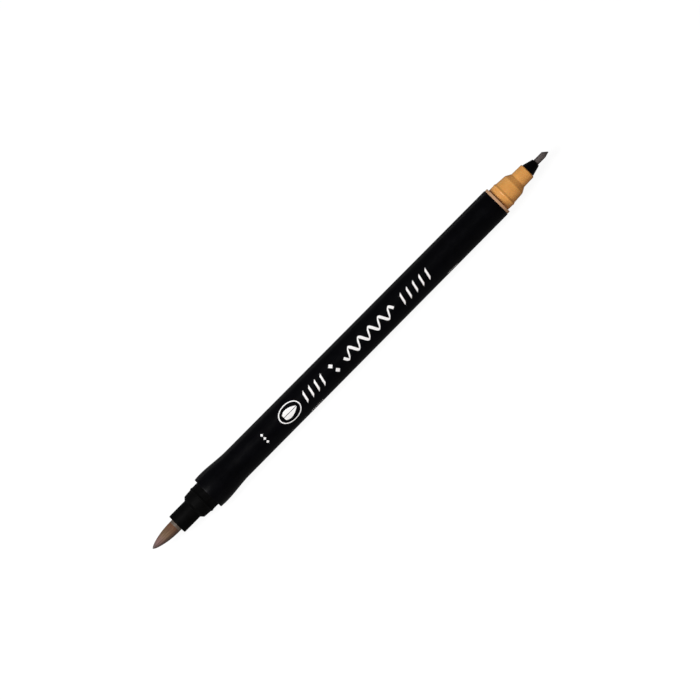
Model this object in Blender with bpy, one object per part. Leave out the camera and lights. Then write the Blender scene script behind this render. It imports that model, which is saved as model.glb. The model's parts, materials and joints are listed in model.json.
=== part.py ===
"""A twin-tip calligraphy marker without its caps: a soft brush nib at one end, a hard chisel nib at the other.

The pen's axis is X. The brush points to -X and the chisel nib to +X, and the origin is half-way along the pen.
The constants below are in millimetres. Every outline is a list of (x, radius) points, spun about the axis.
"""

import math

import bmesh
import bpy
from mathutils import Matrix, Vector

MM = 0.001
WELD = 1e-6  # metres; closes the seam of a spun shape and gathers its points on the axis

# Overall
PEN_LENGTH = 178.0
BRUSH_TIP_X = -PEN_LENGTH / 2
CHISEL_TIP_X = PEN_LENGTH / 2
FACING_ELEVATION = math.radians(55)  # the printed side of the barrel, measured up from -Y
PRESS_GAP = 0.05  # between two pressed-together pieces
SLOT_GAP = 0.1  # between the soft pieces and what holds them
EDGE = 0.15  # softened edge of a moulding
ROUND_SEGMENTS = 48
THIN_SEGMENTS = 32
START_TURN = 0.25  # of one facet, so that the barrel lies flat on a facet and not on a corner

# Barrel
BARREL_BACK_X = -64.15  # the lip at the brush end
BARREL_FRONT_X = 65.9
FLARE_TOP_X = -62.9
FLARE_FOOT_X = -47.0
LIP_R = 5.97
FLARE_R = 6.09
WAIST_R = 5.35
BARREL_FRONT_R = 5.23
BORE_R = 4.4
SOCKET_R = 4.85  # wider bore that takes the brush section's plug
SOCKET_END_X = -55.0

# Ring that closes the barrel's fine end
RING_FRONT_X = 66.95
RING_R = 5.1
RING_BORE_R = 3.95
RING_MOUTH_R = 4.45  # the bore widens to this, which keeps the front face clear of the band
RING_SLEEVE_BACK_X = 58.0

# Orange section that holds the fine nib
FINE_TAIL_BACK_X = 57.5
FINE_GROOVE_R = 4.12
BAND_BACK_X = 67.05
BAND_R = 4.33
BEAD_BACK_X = 69.0
BEAD_FRONT_X = 70.1
BEAD_HEIGHT = 0.1
COLLAR_BACK_R = 4.16
COLLAR_FRONT_X = 73.9
COLLAR_FRONT_R = 3.9
NECK_BACK_X = 75.75
NECK_BACK_R = 2.87
NECK_FRONT_X = 80.2
NECK_FRONT_R = 2.76
NECK_CHAMFER_LENGTH = 0.35
NECK_CHAMFER_DEPTH = 0.21
CUP_R = 3.35  # inside both sections, round the ends of the reservoir
FINE_CUP_END_X = 66.0
NIB_GUIDE_R = 1.15

# Black cone round the fine nib
CONE_SHANK_BACK_X = 74.0
CONE_SHANK_R = 1.7
CONE_BACK_X = 80.25
CONE_BACK_R = 2.4
CONE_FRONT_X = 83.82
CONE_FRONT_R = 1.42
VENT_R = 0.22  # air grooves in the bore
VENT_COUNT = 4

# Fine nib
FINE_NIB_R = 1.04
FINE_NIB_BACK_X = 60.0
CHISEL_STEEP_X = 87.47
CHISEL_SHALLOW_X = 87.1
CHISEL_MEET_X = 89.2  # where the two cuts would meet, past the tip, which leaves a narrow flat to write with
CHISEL_MEET_OFFSET = 0.44  # from the axis, along SIDE

# Black section that holds the brush
BRUSH_NECK_FRONT_X = -78.1
BRUSH_NECK_R = 3.52
SHOULDER_FRONT_X = -71.1
SHOULDER_BACK_X = -70.2
SHOULDER_R = 4.38
BRUSH_COLLAR_BACK_X = -67.4
BRUSH_COLLAR_FRONT_R = 4.52
BRUSH_COLLAR_BACK_R = 4.7
BRUSH_BEAD_X = -67.0
BRUSH_BEAD_R = 4.95
PLUG_FRONT_X = -66.4
PLUG_R = 4.8
PLUG_BACK_X = -55.5
BRUSH_CUP_END_X = -67.0

# Ferrule and brush
FERRULE_FRONT_X = -79.1
FERRULE_BACK_X = -70.0
FERRULE_R = 2.16
FERRULE_BORE_R = 1.75
TAIL_GUIDE_R = 1.8  # narrower bore behind the ferrule, which the ferrule seats against
BRUSH_LENGTH = 10.0  # from the tip to its full width
BRUSH_R = 2.15
BRUSH_FULLNESS = 0.68  # exponent of the brush's outline: a half ellipse would be 0.5
TAIL_R = 1.7
TAIL_BACK_X = -61.0
ROOT_PIVOT_FROM_TIP = 8.2
BELLY_PIVOT_FROM_TIP = 4.6
CUP_RIM_BEHIND_PIVOT = 1.0

# Ink reservoir
RESERVOIR_R = 3.1
RESERVOIR_BACK_X = -66.4
RESERVOIR_FRONT_X = 64.5
POCKET_CLEARANCE = 0.3  # past the end of each nib's tail
WRAP_INNER_R = 3.15
WRAP_OUTER_R = 3.3
WRAP_INSET = 1.0
BREATHER_R = 0.45
BREATHER_BORE_R = 0.28
BREATHER_HALF_LENGTH = 52.0
BREATHER_OFFSET = 3.85  # from the pen's axis, between the wrap and the barrel

FACING = Vector((0.0, -math.cos(FACING_ELEVATION), math.sin(FACING_ELEVATION)))
SIDE = Vector((1.0, 0.0, 0.0)).cross(FACING)
ORIGINS = {}  # each object's own origin along the pen, in millimetres


def clear_scene():
    for existing in list(bpy.data.objects):
        bpy.data.objects.remove(existing)


def make_material(name, colour, roughness, metallic=0.0):
    material = bpy.data.materials.new(name)
    material.use_nodes = True
    shader = material.node_tree.nodes["Principled BSDF"]
    shader.inputs["Base Color"].default_value = (*colour, 1.0)
    shader.inputs["Roughness"].default_value = roughness
    shader.inputs["Metallic"].default_value = metallic
    material.diffuse_color = (*colour, 1.0)
    return material


def arc(centre_x, centre_r, radius, start_deg, end_deg, steps):
    """Points on an arc in the outline plane. 0 degrees points to +X and 90 degrees away from the axis."""
    points = []
    for step in range(steps + 1):
        angle = math.radians(start_deg + (end_deg - start_deg) * step / steps)
        points.append((centre_x + radius * math.cos(angle), centre_r + radius * math.sin(angle)))
    return points


def smoothstep(value):
    value = min(1.0, max(0.0, value))
    return value * value * (3.0 - 2.0 * value)


def add_object(name, shape, material, at_x, parent):
    """Turns a bmesh in pen coordinates into an object whose origin is on the axis at at_x."""
    bmesh.ops.recalc_face_normals(shape, faces=shape.faces)
    bmesh.ops.translate(shape, verts=shape.verts, vec=(-at_x * MM, 0.0, 0.0))
    mesh = bpy.data.meshes.new(name)
    shape.to_mesh(mesh)
    shape.free()
    mesh.shade_smooth()
    mesh.set_sharp_from_angle(angle=math.radians(30))
    mesh.materials.append(material)
    part = bpy.data.objects.new(name, mesh)
    bpy.context.scene.collection.objects.link(part)
    part.parent = parent
    part.location.x = (at_x - ORIGINS.get(parent.name, 0.0)) * MM
    ORIGINS[name] = at_x
    return part


def spun(outline, segments):
    """A bmesh made by spinning an outline about the pen's axis. One that ends on the axis makes a solid."""
    shape = bmesh.new()
    start = 2.0 * math.pi * START_TURN / segments
    across, up = math.sin(start) * MM, math.cos(start) * MM
    points = [shape.verts.new((x * MM, radius * across, radius * up)) for x, radius in outline]
    edges = [shape.edges.new(pair) for pair in zip(points, points[1:])]
    ends_on_axis = outline[0][1] == 0.0 and outline[-1][1] == 0.0
    if not ends_on_axis:
        edges.append(shape.edges.new((points[-1], points[0])))
    bmesh.ops.spin(
        shape,
        geom=points + edges,
        cent=(0.0, 0.0, 0.0),
        axis=(1.0, 0.0, 0.0),
        angle=2.0 * math.pi,
        steps=segments,
        use_merge=True,
    )
    bmesh.ops.remove_doubles(shape, verts=shape.verts, dist=WELD)
    return shape


def add_spun(name, outline, material, at_x, parent, segments=ROUND_SEGMENTS):
    return add_object(name, spun(outline, segments), material, at_x, parent)


def barrel_outer_radius(x):
    """A straight taper, plus the flare at the brush end, less the slight roll-in at its lip."""
    taper = (x - FLARE_FOOT_X) / (BARREL_FRONT_X - FLARE_FOOT_X)
    radius = WAIST_R + (BARREL_FRONT_R - WAIST_R) * max(0.0, taper)
    along_flare = (x - FLARE_TOP_X) / (FLARE_FOOT_X - FLARE_TOP_X)
    radius += (FLARE_R - WAIST_R) * (1.0 - smoothstep(along_flare))
    past_top = max(0.0, (FLARE_TOP_X - x) / (FLARE_TOP_X - BARREL_BACK_X))
    return radius - (FLARE_R - LIP_R) * past_top**2


def add_barrel(parent, material):
    flare_steps = 12
    outline = [(BARREL_BACK_X, SOCKET_R + EDGE), (BARREL_BACK_X, LIP_R - EDGE)]
    first_x = BARREL_BACK_X + EDGE
    for step in range(flare_steps + 1):
        x = first_x + (FLARE_FOOT_X - first_x) * step / flare_steps
        outline.append((x, barrel_outer_radius(x)))
    outline += [
        (BARREL_FRONT_X - EDGE, BARREL_FRONT_R),
        (BARREL_FRONT_X, BARREL_FRONT_R - EDGE),
        (BARREL_FRONT_X, BORE_R),
        (SOCKET_END_X + (SOCKET_R - BORE_R), BORE_R),
        (SOCKET_END_X, SOCKET_R),
        (BARREL_BACK_X + EDGE, SOCKET_R),
    ]
    return add_spun("barrel", outline, material, 0.0, parent)


def add_barrel_end_ring(parent, material):
    sleeve_r = BORE_R - PRESS_GAP
    outline = [
        (RING_SLEEVE_BACK_X, RING_BORE_R),
        (RING_SLEEVE_BACK_X, sleeve_r - EDGE),
        (RING_SLEEVE_BACK_X + 2 * EDGE, sleeve_r),
        (BARREL_FRONT_X + PRESS_GAP, sleeve_r),
        (BARREL_FRONT_X + PRESS_GAP, RING_R),
        (RING_FRONT_X - EDGE, RING_R),
        (RING_FRONT_X, RING_R - EDGE),
        (RING_FRONT_X, RING_MOUTH_R),
        (RING_FRONT_X - (RING_MOUTH_R - RING_BORE_R), RING_BORE_R),
    ]
    return add_spun("barrel_end_ring", outline, material, BARREL_FRONT_X, parent)


def add_fine_section(parent, material):
    tail_r = RING_BORE_R - PRESS_GAP
    guide_end_x = CONE_SHANK_BACK_X - SLOT_GAP
    bead_x = (BEAD_BACK_X + BEAD_FRONT_X) / 2
    outline = [
        (FINE_TAIL_BACK_X, CUP_R),
        (FINE_TAIL_BACK_X, tail_r - EDGE),
        (FINE_TAIL_BACK_X + 2 * EDGE, tail_r),
        (RING_FRONT_X, tail_r),
        (RING_FRONT_X, FINE_GROOVE_R),
        (BAND_BACK_X, FINE_GROOVE_R),
        (BAND_BACK_X, BAND_R - EDGE),
        (BAND_BACK_X + EDGE, BAND_R),
        (BEAD_BACK_X, BAND_R),
        (bead_x, BAND_R + BEAD_HEIGHT),
        (BEAD_FRONT_X, COLLAR_BACK_R + EDGE),
        (BEAD_FRONT_X + EDGE, COLLAR_BACK_R),
    ]
    shoulder_steps = 5
    for step in range(shoulder_steps + 1):
        share = step / shoulder_steps
        x = COLLAR_FRONT_X + (NECK_BACK_X - COLLAR_FRONT_X) * share
        outline.append((x, COLLAR_FRONT_R + (NECK_BACK_R - COLLAR_FRONT_R) * smoothstep(share)))
    outline += [
        (NECK_FRONT_X - NECK_CHAMFER_LENGTH, NECK_FRONT_R),
        (NECK_FRONT_X, NECK_FRONT_R - NECK_CHAMFER_DEPTH),
        (NECK_FRONT_X, CONE_SHANK_R + PRESS_GAP),
        (guide_end_x, CONE_SHANK_R + PRESS_GAP),
        (guide_end_x, NIB_GUIDE_R),
        (FINE_CUP_END_X, NIB_GUIDE_R),
        (FINE_CUP_END_X, CUP_R),
    ]
    return add_spun("fine_section", outline, material, RING_FRONT_X, parent)


def cut_vents(target, first_x, last_x, bore_r, count):
    """Cuts round air grooves along a bore, evenly spaced about the axis."""
    shape = bmesh.new()
    length = (last_x - first_x) * MM
    for index in range(count):
        turn = Matrix.Rotation(2.0 * math.pi * (index + 0.5) / count, 4, "X")
        place = Matrix.Translation(((first_x + last_x) / 2 * MM, 0.0, bore_r * MM))
        lay_along_x = Matrix.Rotation(math.pi / 2, 4, "Y")
        bmesh.ops.create_cone(
            shape,
            cap_ends=True,
            segments=12,
            radius1=VENT_R * MM,
            radius2=VENT_R * MM,
            depth=length,
            matrix=turn @ place @ lay_along_x,
        )
    mesh = bpy.data.meshes.new(target.name + "_vent_cutter")
    shape.to_mesh(mesh)
    shape.free()
    cutter = bpy.data.objects.new(mesh.name, mesh)
    bpy.context.scene.collection.objects.link(cutter)
    cutter.hide_render = True
    cutter.display_type = "WIRE"
    vents = target.modifiers.new("Air vents", "BOOLEAN")
    vents.operation = "DIFFERENCE"
    vents.object = cutter


def add_nib_cone(parent, material):
    bore_r = FINE_NIB_R + PRESS_GAP
    nose = 0.35  # rounding where the cone meets its front face
    slope = math.degrees(math.atan2(CONE_BACK_R - CONE_FRONT_R, CONE_FRONT_X - CONE_BACK_X))
    outline = [
        (CONE_SHANK_BACK_X, bore_r),
        (CONE_SHANK_BACK_X, CONE_SHANK_R - EDGE),
        (CONE_SHANK_BACK_X + EDGE, CONE_SHANK_R),
        (CONE_BACK_X, CONE_SHANK_R),
        (CONE_BACK_X, CONE_BACK_R),
    ]
    outline += arc(CONE_FRONT_X - nose, CONE_FRONT_R - nose * 0.55, nose, 90.0 - slope, 0.0, 4)
    outline.append((CONE_FRONT_X, bore_r))
    cone = add_spun("nib_cone", outline, material, CONE_BACK_X, parent, THIN_SEGMENTS)
    cut_vents(cone, CONE_SHANK_BACK_X - 1.0, CONE_FRONT_X + 1.0, bore_r, VENT_COUNT)
    return cone


def add_fine_nib(parent, material):
    """A round fibre rod. Two flat cuts leave a narrow writing edge, which runs along FACING."""
    tail_chamfer = 0.3
    outline = [
        (FINE_NIB_BACK_X, 0.0),
        (FINE_NIB_BACK_X, FINE_NIB_R - tail_chamfer),
        (FINE_NIB_BACK_X + tail_chamfer, FINE_NIB_R),
        (CHISEL_TIP_X, FINE_NIB_R),
        (CHISEL_TIP_X, 0.0),
    ]
    shape = spun(outline, THIN_SEGMENTS)
    meeting_point = Vector((CHISEL_MEET_X, 0.0, 0.0)) + SIDE * CHISEL_MEET_OFFSET
    for start_x, sign in ((CHISEL_STEEP_X, -1.0), (CHISEL_SHALLOW_X, 1.0)):
        rim_point = Vector((start_x, 0.0, 0.0)) + SIDE * sign * FINE_NIB_R
        outward = (meeting_point - rim_point).cross(FACING) * sign
        cut = bmesh.ops.bisect_plane(
            shape,
            geom=shape.verts[:] + shape.edges[:] + shape.faces[:],
            dist=WELD / 10,
            plane_co=meeting_point * MM,
            plane_no=outward,
            clear_outer=True,
        )
        rim_edges = [item for item in cut["geom_cut"] if isinstance(item, bmesh.types.BMEdge)]
        bmesh.ops.contextual_create(shape, geom=rim_edges)
    return add_object("fine_nib", shape, material, CONE_FRONT_X, parent)


def add_brush_section(parent, material):
    ferrule_bore_r = FERRULE_R + PRESS_GAP
    seat_x = FERRULE_BACK_X + PRESS_GAP
    outline = [
        (BRUSH_NECK_FRONT_X, ferrule_bore_r),
        (BRUSH_NECK_FRONT_X, BRUSH_NECK_R - EDGE),
        (BRUSH_NECK_FRONT_X + EDGE, BRUSH_NECK_R),
        (SHOULDER_FRONT_X, BRUSH_NECK_R),
        (SHOULDER_BACK_X, SHOULDER_R),
        (SHOULDER_BACK_X + EDGE, BRUSH_COLLAR_FRONT_R),
        (BRUSH_COLLAR_BACK_X, BRUSH_COLLAR_BACK_R),
        (BRUSH_BEAD_X - EDGE, BRUSH_BEAD_R),
        (BRUSH_BEAD_X + EDGE, BRUSH_BEAD_R),
        (PLUG_FRONT_X, PLUG_R),
        (PLUG_BACK_X - 2 * EDGE, PLUG_R),
        (PLUG_BACK_X, PLUG_R - EDGE),
        (PLUG_BACK_X, CUP_R),
        (BRUSH_CUP_END_X, CUP_R),
        (BRUSH_CUP_END_X, TAIL_GUIDE_R),
        (seat_x, TAIL_GUIDE_R),
        (seat_x, ferrule_bore_r),
    ]
    return add_spun("brush_section", outline, material, BARREL_BACK_X, parent)


def add_brush_ferrule(parent, material):
    edge = 0.08
    outline = [
        (FERRULE_FRONT_X, FERRULE_BORE_R),
        (FERRULE_FRONT_X, FERRULE_R - edge),
        (FERRULE_FRONT_X + edge, FERRULE_R),
        (FERRULE_BACK_X, FERRULE_R),
        (FERRULE_BACK_X, FERRULE_BORE_R),
    ]
    return add_spun("brush_ferrule", outline, material, BRUSH_NECK_FRONT_X, parent, THIN_SEGMENTS)


def brush_radius(from_tip):
    """The brush's outline: a pointed half ellipse that widens from the tip to its full width."""
    narrowing = 1.0 - min(1.0, from_tip / BRUSH_LENGTH)
    return BRUSH_R * (1.0 - narrowing**2) ** BRUSH_FULLNESS


def brush_outline(first_from_tip, last_from_tip, steps):
    """Points on the brush between two distances from its tip, closer together towards the tip."""
    points = []
    for step in range(steps + 1):
        share = (1.0 - step / steps) ** 2
        from_tip = last_from_tip + (first_from_tip - last_from_tip) * share
        points.append((BRUSH_TIP_X + from_tip, brush_radius(from_tip)))
    return points


def ball_back(pivot_from_tip, steps):
    """The round back of a moving piece: from the axis to its side, about the pivot."""
    radius = brush_radius(pivot_from_tip)
    ball = arc(BRUSH_TIP_X + pivot_from_tip, 0.0, radius, 0.0, 90.0, steps)
    ball[0] = (ball[0][0], 0.0)
    return ball[:-1]


def cup_front(pivot_from_tip, steps):
    """The hollow front of the piece behind: from its rim down to the axis, about the same pivot."""
    radius = brush_radius(pivot_from_tip) + SLOT_GAP
    rim_deg = math.degrees(math.acos(CUP_RIM_BEHIND_PIVOT / radius))
    cup = arc(BRUSH_TIP_X + pivot_from_tip, 0.0, radius, rim_deg, 0.0, steps)
    cup[-1] = (cup[-1][0], 0.0)
    return cup


def add_brush(parent, material):
    """The brush nib as a fixed root and two pieces that turn in the piece behind them."""
    round_steps = 8
    root_rim = ROOT_PIVOT_FROM_TIP + CUP_RIM_BEHIND_PIVOT
    belly_rim = BELLY_PIVOT_FROM_TIP + CUP_RIM_BEHIND_PIVOT
    shoulder_x = FERRULE_FRONT_X - PRESS_GAP
    tail_taper = 0.4
    root = [
        (TAIL_BACK_X, 0.0),
        (TAIL_BACK_X, TAIL_R - tail_taper),
        (TAIL_BACK_X - tail_taper, TAIL_R),
        (shoulder_x, TAIL_R),
    ]
    root += brush_outline(shoulder_x - BRUSH_TIP_X, root_rim, 2)
    root += cup_front(ROOT_PIVOT_FROM_TIP, round_steps)
    add_spun("brush_root", root, material, FERRULE_FRONT_X, parent, THIN_SEGMENTS)

    belly = ball_back(ROOT_PIVOT_FROM_TIP, round_steps)
    belly += brush_outline(ROOT_PIVOT_FROM_TIP, belly_rim, 4)
    belly += cup_front(BELLY_PIVOT_FROM_TIP, round_steps)
    belly_x = BRUSH_TIP_X + ROOT_PIVOT_FROM_TIP
    belly_part = add_spun("brush_belly", belly, material, belly_x, parent, THIN_SEGMENTS)

    point = ball_back(BELLY_PIVOT_FROM_TIP, round_steps)
    point += brush_outline(BELLY_PIVOT_FROM_TIP, 0.0, 9)
    point_x = BRUSH_TIP_X + BELLY_PIVOT_FROM_TIP
    add_spun("brush_point", point, material, point_x, belly_part, THIN_SEGMENTS)


def add_ink_reservoir(parent, material):
    """A fibre core with a pocket at each end for the tail of a nib."""
    brush_pocket_r = TAIL_R + SLOT_GAP
    nib_pocket_r = FINE_NIB_R + SLOT_GAP
    brush_pocket_x = TAIL_BACK_X + POCKET_CLEARANCE
    nib_pocket_x = FINE_NIB_BACK_X - POCKET_CLEARANCE
    outline = [
        (brush_pocket_x, 0.0),
        (brush_pocket_x, brush_pocket_r),
        (RESERVOIR_BACK_X, brush_pocket_r),
        (RESERVOIR_BACK_X, RESERVOIR_R - EDGE),
        (RESERVOIR_BACK_X + EDGE, RESERVOIR_R),
        (RESERVOIR_FRONT_X - EDGE, RESERVOIR_R),
        (RESERVOIR_FRONT_X, RESERVOIR_R - EDGE),
        (RESERVOIR_FRONT_X, nib_pocket_r),
        (nib_pocket_x, nib_pocket_r),
        (nib_pocket_x, 0.0),
    ]
    return add_spun("ink_reservoir", outline, material, 0.0, parent, THIN_SEGMENTS)


def add_reservoir_wrap(parent, material):
    back_x = RESERVOIR_BACK_X + WRAP_INSET
    front_x = RESERVOIR_FRONT_X - WRAP_INSET
    outline = [
        (back_x, WRAP_INNER_R),
        (back_x, WRAP_OUTER_R),
        (front_x, WRAP_OUTER_R),
        (front_x, WRAP_INNER_R),
    ]
    return add_spun("reservoir_wrap", outline, material, 0.0, parent, THIN_SEGMENTS)


def add_breather_tube(parent, material):
    segments = 12
    outline = [
        (-BREATHER_HALF_LENGTH, BREATHER_BORE_R),
        (-BREATHER_HALF_LENGTH, BREATHER_R),
        (BREATHER_HALF_LENGTH, BREATHER_R),
        (BREATHER_HALF_LENGTH, BREATHER_BORE_R),
    ]
    tube = add_spun("breather_tube", outline, material, 0.0, parent, segments)
    tube.location = SIDE * BREATHER_OFFSET * MM
    return tube


def build():
    clear_scene()
    pen = bpy.data.objects.new("pen", None)
    bpy.context.scene.collection.objects.link(pen)

    black_gloss = make_material("black_barrel_plastic", (0.006, 0.006, 0.008), 0.35)
    black_satin = make_material("black_section_plastic", (0.010, 0.010, 0.011), 0.45)
    orange = make_material("orange_plastic", (0.66, 0.31, 0.09), 0.4)
    pale = make_material("pale_ring_plastic", (0.55, 0.36, 0.26), 0.4)
    grey = make_material("ferrule_plastic", (0.30, 0.27, 0.25), 0.4)
    brush_fibre = make_material("brush_fibre", (0.27, 0.12, 0.08), 0.8)
    nib_fibre = make_material("chisel_nib_fibre", (0.10, 0.08, 0.07), 0.8)
    core_fibre = make_material("reservoir_fibre", (0.55, 0.25, 0.12), 0.9)
    film = make_material("clear_film", (0.80, 0.82, 0.84), 0.15)
    tube_plastic = make_material("breather_plastic", (0.75, 0.76, 0.78), 0.35)

    add_barrel(pen, black_gloss)
    add_barrel_end_ring(pen, pale)
    add_fine_section(pen, orange)
    add_nib_cone(pen, black_gloss)
    add_fine_nib(pen, nib_fibre)
    add_brush_section(pen, black_satin)
    add_brush_ferrule(pen, grey)
    add_brush(pen, brush_fibre)
    add_ink_reservoir(pen, core_fibre)
    add_reservoir_wrap(pen, film)
    add_breather_tube(pen, tube_plastic)


build()
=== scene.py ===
"""The looks of a twin-tip calligraphy marker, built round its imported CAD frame.

The marker lies on a white floor with its axis along X: the brush points to -X and the chisel nib to +X.
Each visible piece is a fine mesh with a node material, and stands for a CAD node of about the same shape.
Lengths in this file are in millimetres, and MM turns them into metres. Colours are linear.
"""

import json
import math

import bmesh
import bpy
from mathutils import Matrix, Vector, noise


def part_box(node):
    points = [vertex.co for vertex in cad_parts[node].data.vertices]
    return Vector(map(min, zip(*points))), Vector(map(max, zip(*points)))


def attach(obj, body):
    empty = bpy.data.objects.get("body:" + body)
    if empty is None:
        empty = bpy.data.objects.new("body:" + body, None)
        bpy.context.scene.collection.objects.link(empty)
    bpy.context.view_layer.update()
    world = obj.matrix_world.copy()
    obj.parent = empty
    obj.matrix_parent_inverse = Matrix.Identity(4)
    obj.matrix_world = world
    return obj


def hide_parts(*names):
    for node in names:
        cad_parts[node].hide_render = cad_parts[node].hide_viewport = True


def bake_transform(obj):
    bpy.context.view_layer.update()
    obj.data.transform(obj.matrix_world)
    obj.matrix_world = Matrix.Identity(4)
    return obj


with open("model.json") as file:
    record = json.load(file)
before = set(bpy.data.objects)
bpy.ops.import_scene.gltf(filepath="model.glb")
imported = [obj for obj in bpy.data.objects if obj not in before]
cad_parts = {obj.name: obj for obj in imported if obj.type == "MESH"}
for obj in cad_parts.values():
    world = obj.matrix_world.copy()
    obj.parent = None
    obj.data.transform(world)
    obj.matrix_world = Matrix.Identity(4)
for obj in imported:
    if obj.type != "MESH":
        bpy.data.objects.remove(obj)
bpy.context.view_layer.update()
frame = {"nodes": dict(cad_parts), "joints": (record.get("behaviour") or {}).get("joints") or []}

MM = 0.001

# The printed side of the barrel faces the camera. SIDE is square to that, on the side nearer the floor.
FACING_ELEVATION = math.radians(55)
AXIS = Vector((1.0, 0.0, 0.0))
FACING = Vector((0.0, -math.cos(FACING_ELEVATION), math.sin(FACING_ELEVATION)))
SIDE = AXIS.cross(FACING)

SEGMENTS = 128  # round the barrel and the two sections
SMALL_SEGMENTS = 96  # round the nib cone, the ferrule and the fine nib
BRUSH_SEGMENTS = 192
FILLET_STEPS = 5
GAP = 0.05  # between two pieces that fit together


# ---------------------------------------------------------------- sizes taken from the frame


def span(node):
    """Where a CAD node starts and ends along the marker, and its greatest radius."""
    low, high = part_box(node)
    return low.x / MM, high.x / MM, high.z / MM


BARREL_BACK, BARREL_FRONT, FLARE_R = span("barrel")
RING_BACK, RING_FRONT, RING_R = span("barrel_end_ring")
_, FINE_FRONT, FINE_BEAD_R = span("fine_section")
_, CONE_FRONT, CONE_R = span("nib_cone")
_, NIB_TIP, NIB_R = span("fine_nib")
SECTION_MOUTH, _, SECTION_BEAD_R = span("brush_section")
FERRULE_MOUTH, _, FERRULE_R = span("brush_ferrule")
BRUSH_TIP, _, _ = span("brush_point")
PIVOTS = [joint["pos_m"][0] / MM for joint in frame["joints"]]


# ---------------------------------------------------------------- outlines and turned meshes


def smoothstep(value):
    value = min(1.0, max(0.0, value))
    return value * value * (3.0 - 2.0 * value)


def rounded(corners):
    """An outline from (x, radius, fillet) corners, with an arc at each corner that has a fillet."""
    points = []
    count = len(corners)
    for index, (x, radius, fillet) in enumerate(corners):
        corner = Vector((x, radius))
        if fillet == 0.0:
            points.append((x, radius))
            continue
        back = Vector(corners[index - 1][:2]) - corner
        ahead = Vector(corners[(index + 1) % count][:2]) - corner
        half = back.angle(ahead) / 2
        # An arc takes up less than half of each side, so that the arcs at its two ends never meet.
        reach = min(fillet / math.tan(half), 0.45 * back.length, 0.45 * ahead.length)
        size = reach * math.tan(half)
        centre = corner + (back.normalized() + ahead.normalized()).normalized() * size / math.sin(half)
        start = corner + back.normalized() * reach - centre
        end = corner + ahead.normalized() * reach - centre
        turn = start.angle_signed(end)
        for step in range(FILLET_STEPS + 1):
            arm = Matrix.Rotation(-turn * step / FILLET_STEPS, 2) @ start
            points.append(tuple(centre + arm))
    return points


def on_ring(x, radius, angle):
    """A point of the marker, in metres. The angle is counted from the top."""
    return x * MM, -radius * math.sin(angle) * MM, radius * math.cos(angle) * MM


def face_outwards(mesh):
    shape = bmesh.new()
    shape.from_mesh(mesh)
    bmesh.ops.recalc_face_normals(shape, faces=shape.faces)
    shape.to_mesh(mesh)
    shape.free()


def add_piece(name, mesh, material, sharp_angle=32):
    mesh.shade_smooth()
    mesh.set_sharp_from_angle(angle=math.radians(sharp_angle))
    mesh.materials.append(material)
    piece = bpy.data.objects.new(name, mesh)
    bpy.context.scene.collection.objects.link(piece)
    return piece


def turned(name, outline, material, segments=SEGMENTS, relief=None):
    """Turns an outline of (x, radius) points about the marker's axis.

    A closed outline makes a hollow piece. One whose first and last radius are 0 makes a solid piece.
    relief(x, radius, angle) is added to the radius.
    """
    solid = outline[0][1] == 0.0 and outline[-1][1] == 0.0
    rings = outline[1:-1] if solid else outline
    points = []
    for x, radius in rings:
        for index in range(segments):
            angle = 2.0 * math.pi * index / segments
            raised = relief(x, radius, angle) if relief else 0.0
            points.append(on_ring(x, radius + raised, angle))
    faces = []
    count = len(rings)
    for ring in range(count - 1 if solid else count):
        this, other = ring * segments, (ring + 1) % count * segments
        for index in range(segments):
            after = (index + 1) % segments
            faces.append((this + index, this + after, other + after, other + index))
    if solid:
        first, last = len(points), len(points) + 1
        points += [on_ring(*outline[0], 0.0), on_ring(*outline[-1], 0.0)]
        end = (count - 1) * segments
        for index in range(segments):
            after = (index + 1) % segments
            faces.append((first, after, index))
            faces.append((last, end + index, end + after))
    mesh = bpy.data.meshes.new(name)
    mesh.from_pydata(points, [], faces)
    face_outwards(mesh)
    return add_piece(name, mesh, material)


# ---------------------------------------------------------------- node materials


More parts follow.
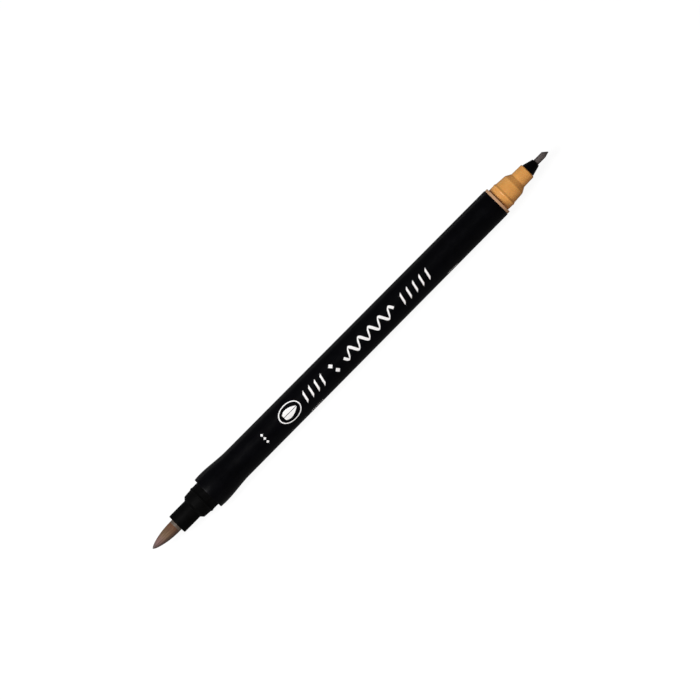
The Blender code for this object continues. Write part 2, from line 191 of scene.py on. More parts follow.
class Recipe:
    """A node material in the making. Its coordinates are in millimetres in the marker's own frame."""

    def __init__(self, name):
        self.material = bpy.data.materials.new(name)
        self.material.use_nodes = True
        self.nodes = self.material.node_tree.nodes
        self.links = self.material.node_tree.links
        self.shader = self.nodes["Principled BSDF"]
        where = self.nodes.new("ShaderNodeTexCoord").outputs["Object"]
        self.place = self.scaled(where, (1 / MM, 1 / MM, 1 / MM))

    def feed(self, socket, value):
        if isinstance(value, bpy.types.NodeSocket):
            self.links.new(value, socket)
        else:
            socket.default_value = value

    def set(self, inputs):
        for name, value in inputs.items():
            self.feed(self.shader.inputs[name], value)

    def scaled(self, vector, factors):
        node = self.nodes.new("ShaderNodeVectorMath")
        node.operation = "MULTIPLY"
        self.feed(node.inputs[0], vector)
        node.inputs[1].default_value = factors
        return node.outputs["Vector"]

    def math(self, operation, first, second=0.0, third=0.0):
        node = self.nodes.new("ShaderNodeMath")
        node.operation = operation
        for socket, value in zip(node.inputs, (first, second, third)):
            self.feed(socket, value)
        return node.outputs["Value"]

    def noise(self, scale, detail=4.0, roughness=0.55, stretch=(1.0, 1.0, 1.0), vector=None):
        node = self.nodes.new("ShaderNodeTexNoise")
        node.inputs["Scale"].default_value = scale
        node.inputs["Detail"].default_value = detail
        node.inputs["Roughness"].default_value = roughness
        self.links.new(self.scaled(vector or self.place, stretch), node.inputs["Vector"])
        return node.outputs["Fac"]

    def ranged(self, value, low, high, to_low=0.0, to_high=1.0):
        node = self.nodes.new("ShaderNodeMapRange")
        self.feed(node.inputs["Value"], value)
        limits = {"From Min": low, "From Max": high, "To Min": to_low, "To Max": to_high}
        for name, number in limits.items():
            node.inputs[name].default_value = number
        return node.outputs["Result"]

    def mix(self, factor, first, second):
        node = self.nodes.new("ShaderNodeMix")
        node.data_type = "RGBA"
        self.feed(node.inputs["Factor"], factor)
        for socket, value in ((node.inputs["A"], first), (node.inputs["B"], second)):
            self.feed(socket, value if isinstance(value, bpy.types.NodeSocket) else (*value, 1.0))
        return node.outputs["Result"]

    def split(self, vector):
        node = self.nodes.new("ShaderNodeSeparateXYZ")
        self.links.new(vector, node.inputs["Vector"])
        return node.outputs["X"], node.outputs["Y"], node.outputs["Z"]

    def bump(self, height, strength, distance):
        node = self.nodes.new("ShaderNodeBump")
        node.inputs["Strength"].default_value = strength
        node.inputs["Distance"].default_value = distance * MM
        self.links.new(height, node.inputs["Height"])
        self.links.new(node.outputs["Normal"], self.shader.inputs["Normal"])


def moulded_plastic(name, dark, light, roughness, specular, grain=0.25, worn=None):
    """Moulded plastic with a cloudy colour, fine grain, rubbed patches and faint scratches.

    worn is the colour of its rubbed edges, if it has any.
    """
    smoothest, roughest = roughness - 0.07, roughness + 0.09
    relief = 0.004
    recipe = Recipe(name)
    cloud = recipe.noise(0.35, detail=5.0)
    colour = recipe.mix(recipe.ranged(cloud, 0.3, 0.7), dark, light)
    rubbed = recipe.noise(0.9, detail=3.0, stretch=(0.35, 1.0, 1.0))
    scratches = recipe.noise(9.0, detail=2.0, stretch=(0.06, 1.0, 1.0))
    if worn:
        edge = recipe.nodes.new("ShaderNodeNewGeometry").outputs["Pointiness"]
        on_edges = recipe.ranged(edge, 0.52, 0.62)
        in_patches = recipe.ranged(rubbed, 0.35, 0.6)
        colour = recipe.mix(recipe.math("MULTIPLY", on_edges, in_patches), colour, worn)
    wear = recipe.math("MULTIPLY_ADD", scratches, 0.4, recipe.math("MULTIPLY", rubbed, 0.6))
    recipe.set({
        "Base Color": colour,
        "Roughness": recipe.ranged(wear, 0.3, 0.7, smoothest, roughest),
        "Specular IOR Level": specular,
    })
    fine = recipe.noise(14.0, detail=3.0)
    recipe.bump(recipe.math("MULTIPLY_ADD", scratches, 0.5, fine), grain, relief)
    return recipe


def barrel_plastic():
    dark, light = (0.0010, 0.0010, 0.0015), (0.0018, 0.0018, 0.0026)
    return moulded_plastic("barrel_plastic", dark, light, roughness=0.30, specular=0.08).material


def section_plastic():
    dark, light = (0.0016, 0.0016, 0.0016), (0.0032, 0.0032, 0.0032)
    worn = (0.007, 0.007, 0.007)
    recipe = moulded_plastic("section_plastic", dark, light, 0.42, 0.02, grain=0.4, worn=worn)
    return recipe.material


def orange_plastic():
    """Lets a little light in, which softens its shading."""
    dark, light = (0.73, 0.343, 0.087), (0.82, 0.392, 0.109)
    worn = (0.84, 0.46, 0.17)
    recipe = moulded_plastic("orange_plastic", dark, light, roughness=0.36, specular=0.3, worn=worn)
    recipe.set({
        "Subsurface Weight": 0.1,
        "Subsurface Radius": (0.9, 0.4, 0.15),
        "Subsurface Scale": 1.2 * MM,
    })
    return recipe.material


def ring_plastic():
    dark, light = (0.52, 0.30, 0.170), (0.60, 0.36, 0.208)
    return moulded_plastic("ring_plastic", dark, light, roughness=0.36, specular=0.25).material


def ferrule_plastic():
    dark, light = (0.085, 0.067, 0.054), (0.122, 0.097, 0.078)
    return moulded_plastic("ferrule_plastic", dark, light, roughness=0.38, specular=0.25).material


def cone_plastic():
    dark, light = (0.0008, 0.0007, 0.0009), (0.0016, 0.0014, 0.0018)
    return moulded_plastic("cone_plastic", dark, light, roughness=0.34, specular=0.12).material


def white_ink():
    """Screen-printed ink: opaque white, with pinholes and a slightly uneven film."""
    recipe = Recipe("white_print_ink")
    film = recipe.noise(2.5, detail=4.0)
    pinholes = recipe.ranged(recipe.noise(7.0, detail=2.0), 0.70, 0.78)
    colour = recipe.mix(recipe.ranged(film, 0.3, 0.7), (0.88, 0.88, 0.89), (0.95, 0.95, 0.95))
    recipe.set({
        "Base Color": recipe.mix(pinholes, colour, (0.25, 0.25, 0.26)),
        "Roughness": recipe.ranged(film, 0.3, 0.7, 0.45, 0.6),
        "Specular IOR Level": 0.3,
    })
    recipe.bump(film, 0.3, 0.004)
    return recipe.material


def nib_fibre():
    """Hard pressed fibre: mottled dark grey with short lengthwise fibres, and darker towards the tip."""
    recipe = Recipe("chisel_nib_fibre")
    strands = recipe.noise(4.5, detail=6.0, roughness=0.7, stretch=(0.18, 1.0, 1.0))
    mottle = recipe.noise(2.2, detail=5.0, roughness=0.7)
    grain = recipe.math("MULTIPLY_ADD", mottle, 0.6, recipe.math("MULTIPLY", strands, 0.4))
    dark, light, ink = (0.040, 0.034, 0.032), (0.148, 0.126, 0.121), (0.016, 0.014, 0.013)
    colour = recipe.mix(recipe.ranged(grain, 0.42, 0.58), dark, light)
    along, _, _ = recipe.split(recipe.place)
    # Darker towards the tip: the third colour above is mixed in over the nib's last two millimetres.
    darkening_starts, darkening_full, most_darkening = NIB_TIP - 2.0, NIB_TIP - 1.1, 0.6
    darkening = recipe.ranged(along, darkening_starts, darkening_full, 0.0, most_darkening)
    recipe.set({
        "Base Color": recipe.mix(darkening, colour, ink),
        "Roughness": 0.85,
        "Specular IOR Level": 0.15,
        "Sheen Weight": 0.1,
    })
    recipe.bump(strands, 0.8, 0.03)
    return recipe.material


# The layer that holds each point's way round the brush and its distance from the tip
BRUSH_DEPTH = "from_tip"

# The brush's colours from its tip to its root: (share of the length, dark strands, light strands)
BRUSH_COLOURS = (
    (0.00, (0.048, 0.041, 0.041), (0.124, 0.106, 0.104)),
    (0.25, (0.084, 0.046, 0.042), (0.212, 0.124, 0.113)),
    (0.60, (0.078, 0.047, 0.027), (0.200, 0.125, 0.072)),
    (1.00, (0.072, 0.030, 0.015), (0.190, 0.086, 0.044)),
)


def brush_fibre():
    """Fine lengthwise fibres: rust brown at the root, greyer towards the tip, with painted shade on the
    side nearest the floor.
    """
    recipe = Recipe("brush_fibre")
    layer = recipe.nodes.new("ShaderNodeUVMap")
    layer.uv_map = BRUSH_DEPTH
    around, from_tip, _ = recipe.split(layer.outputs["UV"])
    turn = recipe.math("MULTIPLY", around, 2.0 * math.pi)
    joined = recipe.nodes.new("ShaderNodeCombineXYZ")
    recipe.links.new(recipe.math("COSINE", turn), joined.inputs["X"])
    recipe.links.new(recipe.math("SINE", turn), joined.inputs["Y"])
    recipe.links.new(from_tip, joined.inputs["Z"])
    cylinder = joined.outputs["Vector"]
    strands = recipe.noise(9.0, detail=5.0, roughness=0.7, stretch=(1.0, 1.0, 0.18), vector=cylinder)
    locks = recipe.noise(2.2, detail=3.0, stretch=(1.0, 1.0, 0.5), vector=cylinder)
    streak = recipe.ranged(strands, 0.38, 0.62)
    wander = recipe.math("MULTIPLY_ADD", locks, 0.25, recipe.math("SUBTRACT", from_tip, 0.125))
    colour = None
    for share, dark, light in BRUSH_COLOURS:
        here = recipe.mix(streak, dark, light)
        if colour:
            here = recipe.mix(recipe.ranged(wander, last_share, share), colour, here)
        colour, last_share = here, share
    # Painted shade: the side nearest the floor is darkened, with a ragged edge from random locks. The
    # angle of that side is counted as in on_ring.
    shaded_side_angle = math.pi - math.atan2(-SIDE.y, SIDE.z)
    toward_shaded_side = recipe.math("COSINE", recipe.math("ADD", turn, shaded_side_angle - math.pi))
    darkening = recipe.math("MULTIPLY_ADD", locks, 0.5, recipe.math("SUBTRACT", toward_shaded_side, 0.25))
    # ink here is the colour of the painted shade on that side.
    ink, most_darkening = (0.052, 0.030, 0.025), 0.75
    colour = recipe.mix(recipe.ranged(darkening, 0.1, 0.9, 0.0, most_darkening), colour, ink)
    recipe.set({"Base Color": colour, "Roughness": 0.72, "Specular IOR Level": 0.2, "Sheen Weight": 0.05})
    recipe.bump(strands, 0.7, 0.03)
    return recipe.material


def reservoir_fibre():
    dark, light = (0.35, 0.13, 0.05), (0.62, 0.30, 0.12)
    recipe = Recipe("reservoir_fibre")
    strands = recipe.noise(3.0, detail=5.0, stretch=(0.05, 1.0, 1.0))
    recipe.set({"Base Color": recipe.mix(strands, dark, light), "Roughness": 0.9})
    recipe.bump(strands, 0.6, 0.05)
    return recipe.material


def clear_film():
    dark, light = (0.70, 0.71, 0.73), (0.82, 0.83, 0.85)
    return moulded_plastic("reservoir_film", dark, light, roughness=0.2, specular=0.5).material


def breather_plastic():
    dark, light = (0.60, 0.61, 0.63), (0.72, 0.73, 0.75)
    return moulded_plastic("breather_plastic", dark, light, roughness=0.35, specular=0.4).material


# ---------------------------------------------------------------- hard pieces


FLARE_TOP = BARREL_BACK + 2.65  # the barrel is thickest here
FLARE_FOOT = BARREL_BACK + 13.55  # and its straight taper starts here
LIP_R = FLARE_R - 0.12
WAIST_R = FLARE_R - 0.71
BARREL_FRONT_R = FLARE_R - 0.84


def barrel_radius(x):
    """A straight taper, plus the flare at the brush end, less the slight roll-in at its lip."""
    taper = max(0.0, (x - FLARE_FOOT) / (BARREL_FRONT - FLARE_FOOT))
    radius = WAIST_R + (BARREL_FRONT_R - WAIST_R) * taper
    radius += (FLARE_R - WAIST_R) * (1.0 - smoothstep((x - FLARE_TOP) / (FLARE_FOOT - FLARE_TOP)))
    past_top = max(0.0, (FLARE_TOP - x) / (FLARE_TOP - BARREL_BACK))
    return radius - (FLARE_R - LIP_R) * past_top**2


def make_barrel():
    """A tube with a wider socket at the brush end."""
    bore, socket = 4.4, 4.85
    socket_end, socket_slope = BARREL_BACK + 9.15, 0.5
    flare_steps, shaft_steps = 40, 24
    lip_edge, front_edge, outline_start = 0.15, 0.12, 0.4
    corners = [(BARREL_BACK, socket, 0.12), (BARREL_BACK, LIP_R, lip_edge)]
    first, last = BARREL_BACK + outline_start, BARREL_FRONT - outline_start
    for step in range(flare_steps):
        x = first + (FLARE_FOOT - first) * step / flare_steps
        corners.append((x, barrel_radius(x), 0.0))
    for step in range(shaft_steps):
        x = FLARE_FOOT + (last - FLARE_FOOT) * step / shaft_steps
        corners.append((x, barrel_radius(x), 0.0))
    corners += [
        (BARREL_FRONT, BARREL_FRONT_R, front_edge),
        (BARREL_FRONT, bore, 0.0),
        (socket_end + socket_slope, bore, 0.0),
        (socket_end, socket, 0.0),
    ]
    return turned("barrel_shell", rounded(corners), barrel_plastic())


def make_ring():
    """The pale end ring, with its mouth chamfered, and the sleeve that plugs it into the barrel."""
    bore, mouth, sleeve_r = 3.95, 4.45, 4.35
    flange_back = BARREL_FRONT + GAP
    corners = [
        (RING_BACK, bore, 0.0),
        (RING_BACK, sleeve_r, 0.1),
        (flange_back, sleeve_r, 0.0),
        (flange_back, RING_R, 0.1),
        (RING_FRONT, RING_R, 0.16),
        (RING_FRONT, mouth, 0.0),
        (RING_FRONT - (mouth - bore), bore, 0.0),
    ]
    return turned("end_ring", rounded(corners), ring_plastic())


def make_fine_section():
    """Base band with a snap bead, collar, rounded shoulder and neck, and the plug inside the barrel."""
    plug_r, groove_r, band_r = 3.9, 4.12, 4.33
    collar_back_r, collar_front_r = 4.16, 3.9
    neck_back_r, neck_front_r = 2.87, 2.76
    reservoir_r, nib_passage_r, shank_r = 3.35, 2.15, 1.75
    plug_back = RING_FRONT - 4.0
    reservoir_stop = RING_FRONT - 1.0
    band_back, bead_back, bead_front = RING_FRONT + 0.1, RING_FRONT + 2.05, RING_FRONT + 3.15
    bead_rise, bead_fall = 0.3, 0.6
    collar_front, neck_back = RING_FRONT + 6.95, RING_FRONT + 8.8
    shank_back = FINE_FRONT - 6.0
    corners = [
        (plug_back, reservoir_r, 0.0),
        (plug_back, plug_r, 0.0),
        (RING_FRONT - GAP, plug_r, 0.0),
        (RING_FRONT, groove_r, 0.0),
        (band_back, groove_r, 0.0),
        (band_back, band_r - 0.02, 0.15),
        (bead_back, band_r, 0.12),
        (bead_back + bead_rise, FINE_BEAD_R, 0.14),
        (bead_front - bead_fall, FINE_BEAD_R, 0.14),
        (bead_front, collar_back_r, 0.12),
        (collar_front, collar_front_r, 1.3),
        (neck_back, neck_back_r, 0.7),
        (FINE_FRONT, neck_front_r, 0.5),
        (FINE_FRONT, shank_r, 0.0),
        (shank_back, shank_r, 0.0),
        (shank_back, nib_passage_r, 0.0),
        (reservoir_stop, nib_passage_r, 0.0),
        (reservoir_stop, reservoir_r, 0.0),
    ]
    return turned("orange_section", rounded(corners), orange_plastic())


def make_nib_cone():
    """The cone that holds the nib. Narrow grooves in its bore let air in past the nib."""
    bore, shank_r, front_r = NIB_R + GAP, 1.7, 1.42
    groove_r, groove_count = 0.22, 4
    shank_back, cone_back = CONE_FRONT - 5.0, FINE_FRONT + GAP
    corners = [
        (shank_back, bore, 0.0),
        (shank_back, shank_r, 0.0),
        (cone_back, shank_r, 0.0),
        (cone_back, CONE_R, 0.1),
        (CONE_FRONT, front_r, 0.4),
        (CONE_FRONT, bore, 0.04),
    ]

    def grooves(x, radius, angle):
        quarter = 2.0 * math.pi / groove_count
        from_groove = bore * ((angle + quarter / 2) % quarter - quarter / 2)
        if abs(from_groove) >= groove_r:
            return 0.0
        groove = bore + math.sqrt(groove_r**2 - from_groove**2)
        return max(0.0, groove - radius)

    return turned("cone", rounded(corners), cone_plastic(), SMALL_SEGMENTS, grooves)


def make_fine_nib():
    """A fibre rod cut to a chisel by two planes. Its narrow writing edge runs along FACING."""
    steps = 60
    fuzz_height, fuzz_size, fuzz_stretch, fuzz_sink = 0.012, 0.12, 0.3, 0.4
    hidden_end = CONE_FRONT - 6.0
    outline = [(hidden_end, 0.0)]
    for step in range(steps + 1):
        outline.append((hidden_end + (NIB_TIP - hidden_end) * step / steps, NIB_R))
    outline.append((NIB_TIP, 0.0))

    def fuzz(x, radius, angle):
        place = Vector((x * fuzz_stretch, math.cos(angle), math.sin(angle))) / fuzz_size
        return fuzz_height * (noise.noise(place) - fuzz_sink)

    piece = turned("chisel_nib", outline, nib_fibre(), SMALL_SEGMENTS, fuzz)
    # The two cuts would meet a little beyond the tip, so the rod's end leaves a narrow flat between them.
    beyond_tip, off_centre = 0.2, 0.44
    steep_start, shallow_start = NIB_TIP - 1.53, NIB_TIP - 1.9
    meeting = Vector((NIB_TIP + beyond_tip, 0.0, 0.0)) + SIDE * off_centre
    shape = bmesh.new()
    shape.from_mesh(piece.data)
    for start, sign in ((steep_start, -1.0), (shallow_start, 1.0)):
        rim_point = Vector((start, 0.0, 0.0)) + SIDE * sign * NIB_R
        cut = bmesh.ops.bisect_plane(
            shape,
            geom=shape.verts[:] + shape.edges[:] + shape.faces[:],
            dist=1e-8,
            plane_co=meeting * MM,
            plane_no=(meeting - rim_point).cross(FACING) * sign,
            clear_outer=True,
        )
        rim = [item for item in cut["geom_cut"] if isinstance(item, bmesh.types.BMEdge)]
        bmesh.ops.contextual_create(shape, geom=rim)
    shape.to_mesh(piece.data)
    shape.free()
    crease = math.radians(24)
    piece.data.shade_smooth()
    piece.data.set_sharp_from_angle(angle=crease)
    soften = piece.modifiers.new("Soft edges", "BEVEL")
    soften.width = 0.05 * MM
    soften.segments = 3
    soften.limit_method = "ANGLE"
    soften.angle_limit = crease
    return piece


def make_brush_section():
    """Neck, shoulder, collar, snap bead and the plug inside the barrel."""
    bore = FERRULE_R + GAP
    neck_r, collar_front_r, collar_back_r, plug_r = 3.52, 4.5, 4.7, 4.8
    shoulder_front, shoulder_back = SECTION_MOUTH + 7.0, SECTION_MOUTH + 7.9
    collar_back, bead_front = SECTION_MOUTH + 10.7, SECTION_MOUTH + 10.93
    bead_back, plug_front = SECTION_MOUTH + 11.27, SECTION_MOUTH + 11.7
    plug_back = BARREL_BACK + 5.0
    corners = [
        (SECTION_MOUTH, bore, 0.1),
        (SECTION_MOUTH, neck_r, 0.3),
        (shoulder_front, neck_r, 0.25),
        (shoulder_back, collar_front_r, 0.22),
        (collar_back, collar_back_r, 0.1),
        (bead_front, SECTION_BEAD_R, 0.16),
        (bead_back, SECTION_BEAD_R, 0.16),
        (plug_front, plug_r, 0.1),
        (plug_back, plug_r, 0.0),
        (plug_back, bore, 0.0),
    ]
    return turned("brush_holder", rounded(corners), section_plastic())


def make_ferrule():
    bore, back = 1.75, SECTION_MOUTH + 3.0
    corners = [
        (FERRULE_MOUTH, bore, 0.0),
        (FERRULE_MOUTH, FERRULE_R, 0.1),
        (back, FERRULE_R, 0.0),
        (back, bore, 0.0),
    ]
    return turned("ferrule", rounded(corners), ferrule_plastic(), SMALL_SEGMENTS)


# ---------------------------------------------------------------- the soft brush


BRUSH_LENGTH = 10.0
BRUSH_R = 2.15
BRUSH_FULLNESS = 0.68
BRUSH_ROOT = FERRULE_MOUTH - BRUSH_TIP


def brush_radius(from_tip):
    """The brush's outline: a pointed half ellipse that widens from the tip to its full width."""
    narrowing = 1.0 - min(1.0, from_tip / BRUSH_LENGTH)
    return BRUSH_R * (1.0 - narrowing**2) ** BRUSH_FULLNESS


def fibre_relief(angle, from_tip):
    """Ridges of fibre that run along the brush and die out at the tip."""
    fine_height, fine_density, fine_drift = 0.022, 14.0, 0.12
    broad_height, broad_density, broad_drift, broad_offset = 0.03, 3.5, 0.25, 7.0
    sink, fade_length = 0.02, 2.5
    around = Vector((math.cos(angle), math.sin(angle), 0.0))
    fine = noise.noise(around * fine_density + Vector((0.0, 0.0, from_tip * fine_drift)))
    shift = from_tip * broad_drift + broad_offset
    broad = noise.noise(around * broad_density + Vector((0.0, 0.0, shift)))
    fade = min(1.0, from_tip / fade_length)
    return (fine_height * fine + broad_height * broad - sink) * fade


def brush_piece(name, first, last, material, steps, inner_end):
    """The stretch of the brush between two distances from its tip, closed on the axis at inner_end."""
    blunt = 0.004  # the first ring's distance from the very tip
    ridge_angle = 60  # only an edge sharper than this is drawn sharp
    points = []
    for step in range(steps + 1):
        share = step / steps
        # A stretch that starts at the tip has its rings closer together there.
        from_tip = max(blunt, first + (last - first) * (share**2 if first == 0.0 else share))
        for index in range(BRUSH_SEGMENTS):
            angle = 2.0 * math.pi * index / BRUSH_SEGMENTS
            radius = brush_radius(from_tip) + fibre_relief(angle, from_tip)
            points.append(on_ring(BRUSH_TIP + from_tip, radius, angle))
    front_centre, back_centre = len(points), len(points) + 1
    points += [on_ring(BRUSH_TIP + first, 0.0, 0.0), on_ring(BRUSH_TIP + inner_end, 0.0, 0.0)]
    faces, turns = [], []
    end = steps * BRUSH_SEGMENTS
    for index in range(BRUSH_SEGMENTS):
        after = (index + 1) % BRUSH_SEGMENTS
        here, beyond = index / BRUSH_SEGMENTS, (index + 1) / BRUSH_SEGMENTS
        for step in range(steps):
            this, other = step * BRUSH_SEGMENTS, (step + 1) * BRUSH_SEGMENTS
            faces.append((this + index, other + index, other + after, this + after))
            turns.append((here, here, beyond, beyond))
        faces.append((front_centre, index, after))
        turns.append((here, here, beyond))
        faces.append((back_centre, end + after, end + index))
        turns.append((here, beyond, here))
    mesh = bpy.data.meshes.new(name)
    mesh.from_pydata(points, [], faces)
    layer = mesh.uv_layers.new(name=BRUSH_DEPTH)
    corners = [corner for face in faces for corner in face]
    corner_turns = [turn for face in turns for turn in face]
    for loop, (corner, turn) in enumerate(zip(corners, corner_turns)):
        from_tip = points[corner][0] / MM - BRUSH_TIP
        layer.data[loop].uv = (turn, from_tip / BRUSH_LENGTH)
    face_outwards(mesh)
    return add_piece(name, mesh, material, ridge_angle)


def make_brush():
    """Two stretches of one brush, which meet half-way between the hinges."""
    fibre = brush_fibre()
    pivot_1, pivot_2 = (pivot - BRUSH_TIP for pivot in PIVOTS)
    meet = (pivot_1 + pivot_2) / 2
    hidden = 1.0  # how far the brush runs into the ferrule
    hollow = 0.3  # how far the tip's back is sunk, clear of the base
    base = brush_piece("brush_base", meet, BRUSH_ROOT + hidden, fibre, 70, BRUSH_ROOT + hidden)
    tip = brush_piece("brush_tip", 0.0, meet, fibre, 110, meet - hollow)
    for piece, behind, ahead, pivot in (
        (base, "marker_body", "brush_belly", pivot_1),
        (tip, "brush_belly", "brush_point", pivot_2),
    ):
        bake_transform(piece)
    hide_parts("brush_root", "brush_belly")
    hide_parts("brush_point")


# ---------------------------------------------------------------- print on the barrel


INK_HEIGHT = 0.014  # of the print's face above the barrel
INK_DEPTH = 0.03  # of its back below the barrel's surface
PRINT_MIDDLE = 0.47  # round the barrel from the facing line, towards SIDE
PRINT_HALF_HEIGHT = 2.05
PRINT_SLANT = 0.22
PEN_ANGLE = math.radians(40)  # of the pen's broad edge from the line of writing
PEN_EDGE = Vector((math.cos(PEN_ANGLE), -math.sin(PEN_ANGLE)))


def line(start, end):
    return lambda t: Vector(start).lerp(Vector(end), t)


class Print:
    """Printed marks, each a band between two curves.

    A place on the barrel is (x, distance round the barrel from the facing line).
    """

    def __init__(self, name):
        self.name = name
        self.shape = bmesh.new()

    def wrap(self, place, lift):
        x, around = place
        radius = barrel_radius(x)
        angle = around / radius
        outward = FACING * math.cos(angle) + SIDE * math.sin(angle)
        return (AXIS * x + outward * (radius + lift)) * MM

    def band(self, one_side, other_side, steps=14, across=6, closed=False):
        """Fills the band between two functions from 0..1 to a place, as a thin closed layer."""
        rows = steps if closed else steps + 1
        grids = []
        for lift in (INK_HEIGHT, -INK_DEPTH):
            grid = []
            for row in range(rows):
                first, second = one_side(row / steps), other_side(row / steps)
                places = [first.lerp(second, column / across) for column in range(across + 1)]
                grid.append([self.shape.verts.new(self.wrap(place, lift)) for place in places])
            grids.append(grid)
        top, bottom = grids
        for row in range(rows if closed else rows - 1):
            after = (row + 1) % rows
            for grid in grids:
                for column in range(across):
                    near, far = grid[row], grid[after]
                    self.shape.faces.new((near[column], near[column + 1], far[column + 1], far[column]))
            for column in (0, across):
                side = (top[row][column], top[after][column], bottom[after][column], bottom[row][column])
                self.shape.faces.new(side)
        for row in () if closed else (0, rows - 1):
            over, under = top[row], bottom[row]
            for column in range(across):
                self.shape.faces.new((over[column], over[column + 1], under[column + 1], under[column]))

    def stroke(self, start, end, nib, steps=14, across=6):
        """A straight stroke of a broad pen, whose edge is the vector nib."""
        half = nib / 2
        start, end = Vector(start), Vector(end)
        self.band(line(start - half, end - half), line(start + half, end + half), steps, across)

    def pen_line(self, path, thin, thick, steps):
        """A curved line of a broad pen: thick across the pen's edge, and thin along it."""
        ahead = 0.5 / steps

        def edge(sign):
            def place(t):
                heading = (path(t + ahead) - path(t - ahead)).normalized()
                width = thin + (thick - thin) * abs(heading.cross(PEN_EDGE))
                return path(t) + Vector((-heading.y, heading.x)) * sign * width / 2

            return place

        self.band(edge(-1.0), edge(1.0), steps, across=4)

    def done(self, material):
        bmesh.ops.recalc_face_normals(self.shape, faces=self.shape.faces)
        mesh = bpy.data.meshes.new(self.name)
        self.shape.to_mesh(mesh)
        self.shape.free()
        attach(add_piece(self.name, mesh, material), "marker_body")


def print_badge(ink):
    """An oval ring round a pen nib with its slit."""
    sheet = Print("print_badge")
    centre = Vector((-27.5, PRINT_MIDDLE - 0.1))
    half_length, half_height, ring_width = 4.3, 3.1, 0.36
    nib_back, nib_front, slit = -2.6, 2.9, 0.2
    nib_half_width, heel_share, point_share = 1.5, 0.55, 0.03
    widest, fullness = 0.31, 0.8

    def oval(shrink):
        def place(t):
            angle = 2.0 * math.pi * t
            along = (half_length - shrink) * math.cos(angle)
            across = (half_height - shrink) * math.sin(angle)
            return centre + Vector((along, across))

        return place

    def nib_width(t):
        if t < widest:
            swell = math.sin(math.pi / 2 * t / widest)
            return nib_half_width * (heel_share + (1.0 - heel_share) * swell)
        narrowing = math.cos(math.pi / 2 * (t - widest) / (1.0 - widest)) ** fullness
        return nib_half_width * max(point_share, narrowing)

    def nib_side(sign, whole):
        def place(t):
            across = slit / 2 + (nib_width(t) if whole else 0.0)
            return centre + Vector((nib_back + (nib_front - nib_back) * t, sign * across))

        return place

    sheet.band(oval(ring_width), oval(0.0), steps=64, across=2, closed=True)
    for sign in (-1.0, 1.0):
        sheet.band(nib_side(sign, False), nib_side(sign, True), steps=36, across=4)
    sheet.done(ink)


def print_strokes(ink):
    """A practice line for a pen: slanted strokes, two diamonds, a wave and more slanted strokes."""
    sheet = Print("print_strokes")
    broad = PEN_EDGE * 1.15
    half_stroke = PRINT_HALF_HEIGHT - 0.35
    top, bottom = PRINT_MIDDLE - half_stroke, PRINT_MIDDLE + half_stroke
    lean = PRINT_SLANT * (bottom - top)

    def slanted(first, last, count):
        for step in range(count):
            x = first + (last - first) * step / (count - 1)
            sheet.stroke((x, bottom), (x + lean, top), broad)

    slanted(-20.9, -13.2, 4)
    for x, around in ((-8.1, -1.2), (-7.2, 1.3)):
        middle = Vector((x, PRINT_MIDDLE + around))
        reach = Vector((0.42, 0.5))
        sheet.stroke(middle - reach, middle + reach, broad, steps=4)
    wave_start, wave_length, waves, wave_height = -3.3, 22.5, 5, 1.45

    def wave(t):
        height = wave_height * math.sin(2.0 * math.pi * waves * t)
        return Vector((wave_start + wave_length * t, PRINT_MIDDLE + height))

    sheet.pen_line(wave, thin=0.34, thick=0.95, steps=200)
    slanted(22.9, 34.1, 5)
    sheet.done(ink)


def print_small_marks(ink):
    """Three small diamonds across the barrel, and two rows of fine ticks low on its side."""
    sheet = Print("print_small_marks")
    dot, dot_x, first_dot, dot_pitch = PEN_EDGE * 0.75, -39.0, -0.8, 1.4
    for step in range(3):
        middle = Vector((dot_x, first_dot + dot_pitch * step))
        reach = Vector((0.25, 0.3))
        sheet.stroke(middle - reach, middle + reach, dot, steps=3, across=3)
    tick = Vector((0.3, 0.0))
    low_angle, high_angle, short = math.radians(67), math.radians(75), 0.55
    for first, last, count in ((-22.0, -17.3, 8), (39.4, 43.3, 7)):
        low, high = low_angle * barrel_radius(first), high_angle * barrel_radius(first)
        for step in range(count):
            x = first + (last - first) * step / (count - 1)
            end = high if step % 3 else low + (high - low) * short
            sheet.stroke((x, low), (x, end), tick, steps=4, across=2)
    sheet.done(ink)


# ---------------------------------------------------------------- stage, lights and camera


AMBIENT = 0.15  # what the white surround adds to a surface
REFLECTED_SURROUND = 0.08  # the surround as seen in reflections, so that black plastic stays black
FLOOR_GREY = 0.24  # as the marker sees it
SEEN_FLOOR = 0.10  # as the camera sees it, which keeps shadows on it faint
REFLECTED_FLOOR = 0.22
FLOOR_GLOW = 0.93  # added for the camera, so that the lit floor shows as white
WHITE = (1.0, 1.0, 1.0, 1.0)
WARM = (1.0, 0.62, 0.38)  # of the two fill lamps, which deepens the shaded side of the orange plastic


def by_ray(tree, camera, glossy, other):
    """A value that depends on the kind of ray that asks for it."""
    rays = tree.nodes.new("ShaderNodeLightPath")
    value = other
    for kind, number in (("Is Glossy Ray", glossy), ("Is Camera Ray", camera)):
        pick = tree.nodes.new("ShaderNodeMix")
        tree.links.new(rays.outputs[kind], pick.inputs["Factor"])
        if isinstance(value, bpy.types.NodeSocket):
            tree.links.new(value, pick.inputs["A"])
        else:
            pick.inputs["A"].default_value = value
        pick.inputs["B"].default_value = number
        value = pick.outputs["Result"]
    return value


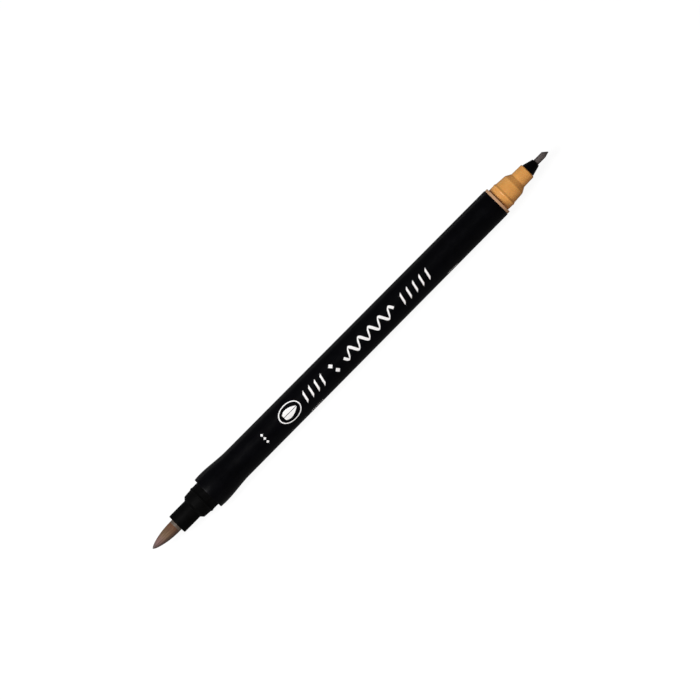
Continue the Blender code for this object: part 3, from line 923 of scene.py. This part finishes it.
def make_floor():
    """A wide pale floor, which leans a little, so that the flare and the barrel's thin end rest on it."""
    half_size = 4.0  # in metres
    clearance = 0.02
    shape = bmesh.new()
    bmesh.ops.create_grid(shape, x_segments=1, y_segments=1, size=half_size)
    mesh = bpy.data.meshes.new("floor")
    shape.to_mesh(mesh)
    shape.free()
    recipe = Recipe("floor_paper")
    tree = recipe.material.node_tree
    paper = recipe.noise(1.5, detail=6.0)
    grey = by_ray(tree, SEEN_FLOOR, REFLECTED_FLOOR, FLOOR_GREY)
    grey = recipe.math("MULTIPLY", grey, recipe.ranged(paper, 0.0, 1.0, 0.98, 1.02))
    recipe.set({
        "Base Color": grey,
        "Roughness": 0.9,
        "Specular IOR Level": 0.0,
        "Emission Color": WHITE,
        "Emission Strength": by_ray(tree, FLOOR_GLOW, 0.0, 0.0),
    })
    mesh.materials.append(recipe.material)
    floor = bpy.data.objects.new("floor", mesh)
    bpy.context.scene.collection.objects.link(floor)
    lean = math.atan2(FLARE_R - BARREL_FRONT_R, BARREL_FRONT - FLARE_TOP)
    floor.rotation_euler.y = -lean
    floor.location.z = -(FLARE_R + math.tan(lean) * FLARE_TOP + clearance) * MM


def make_world():
    """A white surround, dimmer as a source of light, and dimmer still in reflections."""
    world = bpy.data.worlds.new("studio")
    bpy.context.scene.world = world
    world.use_nodes = True
    background = world.node_tree.nodes["Background"]
    background.inputs["Color"].default_value = WHITE
    strength = by_ray(world.node_tree, 1.0, REFLECTED_SURROUND, AMBIENT)
    world.node_tree.links.new(strength, background.inputs["Strength"])


def add_area(name, direction, distance, size, power, reflected, colour=(1.0, 1.0, 1.0)):
    """A rectangular lamp that shines on the marker. A lamp that isn't reflected leaves no highlight.

    Its distance and size are in metres.
    """
    light = bpy.data.lights.new(name, "AREA")
    light.shape = "RECTANGLE"
    light.size, light.size_y = size
    light.energy = power
    light.color = colour
    lamp = bpy.data.objects.new(name, light)
    bpy.context.scene.collection.objects.link(lamp)
    lamp.location = direction.normalized() * distance
    lamp.rotation_mode = "QUATERNION"
    lamp.rotation_quaternion = direction.to_track_quat("Z", "Y")
    lamp.visible_glossy = reflected


def make_lights():
    add_area("key_softbox", FACING * 0.75 - SIDE * 0.3 - AXIS * 0.6, 0.9, (0.5, 0.5), 9.4, True)
    add_area("back_strip", Vector((0.0, 1.0, 0.14)), 0.8, (2.4, 0.1), 0.85, True)
    add_area("end_fill", Vector((1.0, -0.3, 0.25)), 0.8, (0.4, 0.4), 0.3, False, WARM)
    add_area("side_fill", Vector((0.0, -1.0, 0.05)), 0.8, (0.6, 0.1), 0.5, False, WARM)


def make_camera():
    """Square to the printed side, and turned so that the marker runs from lower left to upper right."""
    lens, sensor = 600.0, 36.0
    field = 222.4  # the width of the picture at the marker
    marker_slope = math.radians(45.24)
    look_at = AXIS * -0.03 + SIDE * 0.03
    data = bpy.data.cameras.new("camera")
    data.lens, data.sensor_width = lens, sensor
    data.clip_start, data.clip_end = 0.01, 20.0
    camera = bpy.data.objects.new("camera", data)
    bpy.context.scene.collection.objects.link(camera)
    right = AXIS * math.cos(marker_slope) + SIDE * math.sin(marker_slope)
    up = FACING.cross(right)
    turn = Matrix((right, up, FACING)).transposed().to_4x4()
    distance = field * lens / sensor
    camera.matrix_world = Matrix.Translation((look_at + FACING * distance) * MM) @ turn
    bpy.context.scene.camera = camera


# ---------------------------------------------------------------- build


def dress_hidden_nodes():
    """The pieces inside the barrel keep their CAD shapes and get their materials."""
    for node, material in (
        ("ink_reservoir", reservoir_fibre()),
        ("reservoir_wrap", clear_film()),
        ("breather_tube", breather_plastic()),
    ):
        piece = frame["nodes"][node]
        piece.data.materials.clear()
        piece.data.materials.append(material)


def build():
    hard_pieces = (
        (make_barrel, "barrel", "barrel_black"),
        (make_ring, "barrel_end_ring", "ring_pale"),
        (make_fine_section, "fine_section", "section_orange"),
        (make_nib_cone, "nib_cone", "cone_black"),
        (make_fine_nib, "fine_nib", "nib_fibre"),
        (make_brush_section, "brush_section", "section_black"),
        (make_ferrule, "brush_ferrule", "ferrule_grey"),
    )
    for make, node, slot in hard_pieces:
        piece = make()
        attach(piece, "marker_body")
        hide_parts(node)
    make_brush()
    ink = white_ink()
    print_badge(ink)
    print_strokes(ink)
    print_small_marks(ink)
    dress_hidden_nodes()
    make_floor()
    make_world()
    make_lights()
    make_camera()
    bpy.context.scene.view_settings.view_transform = "Standard"


build()
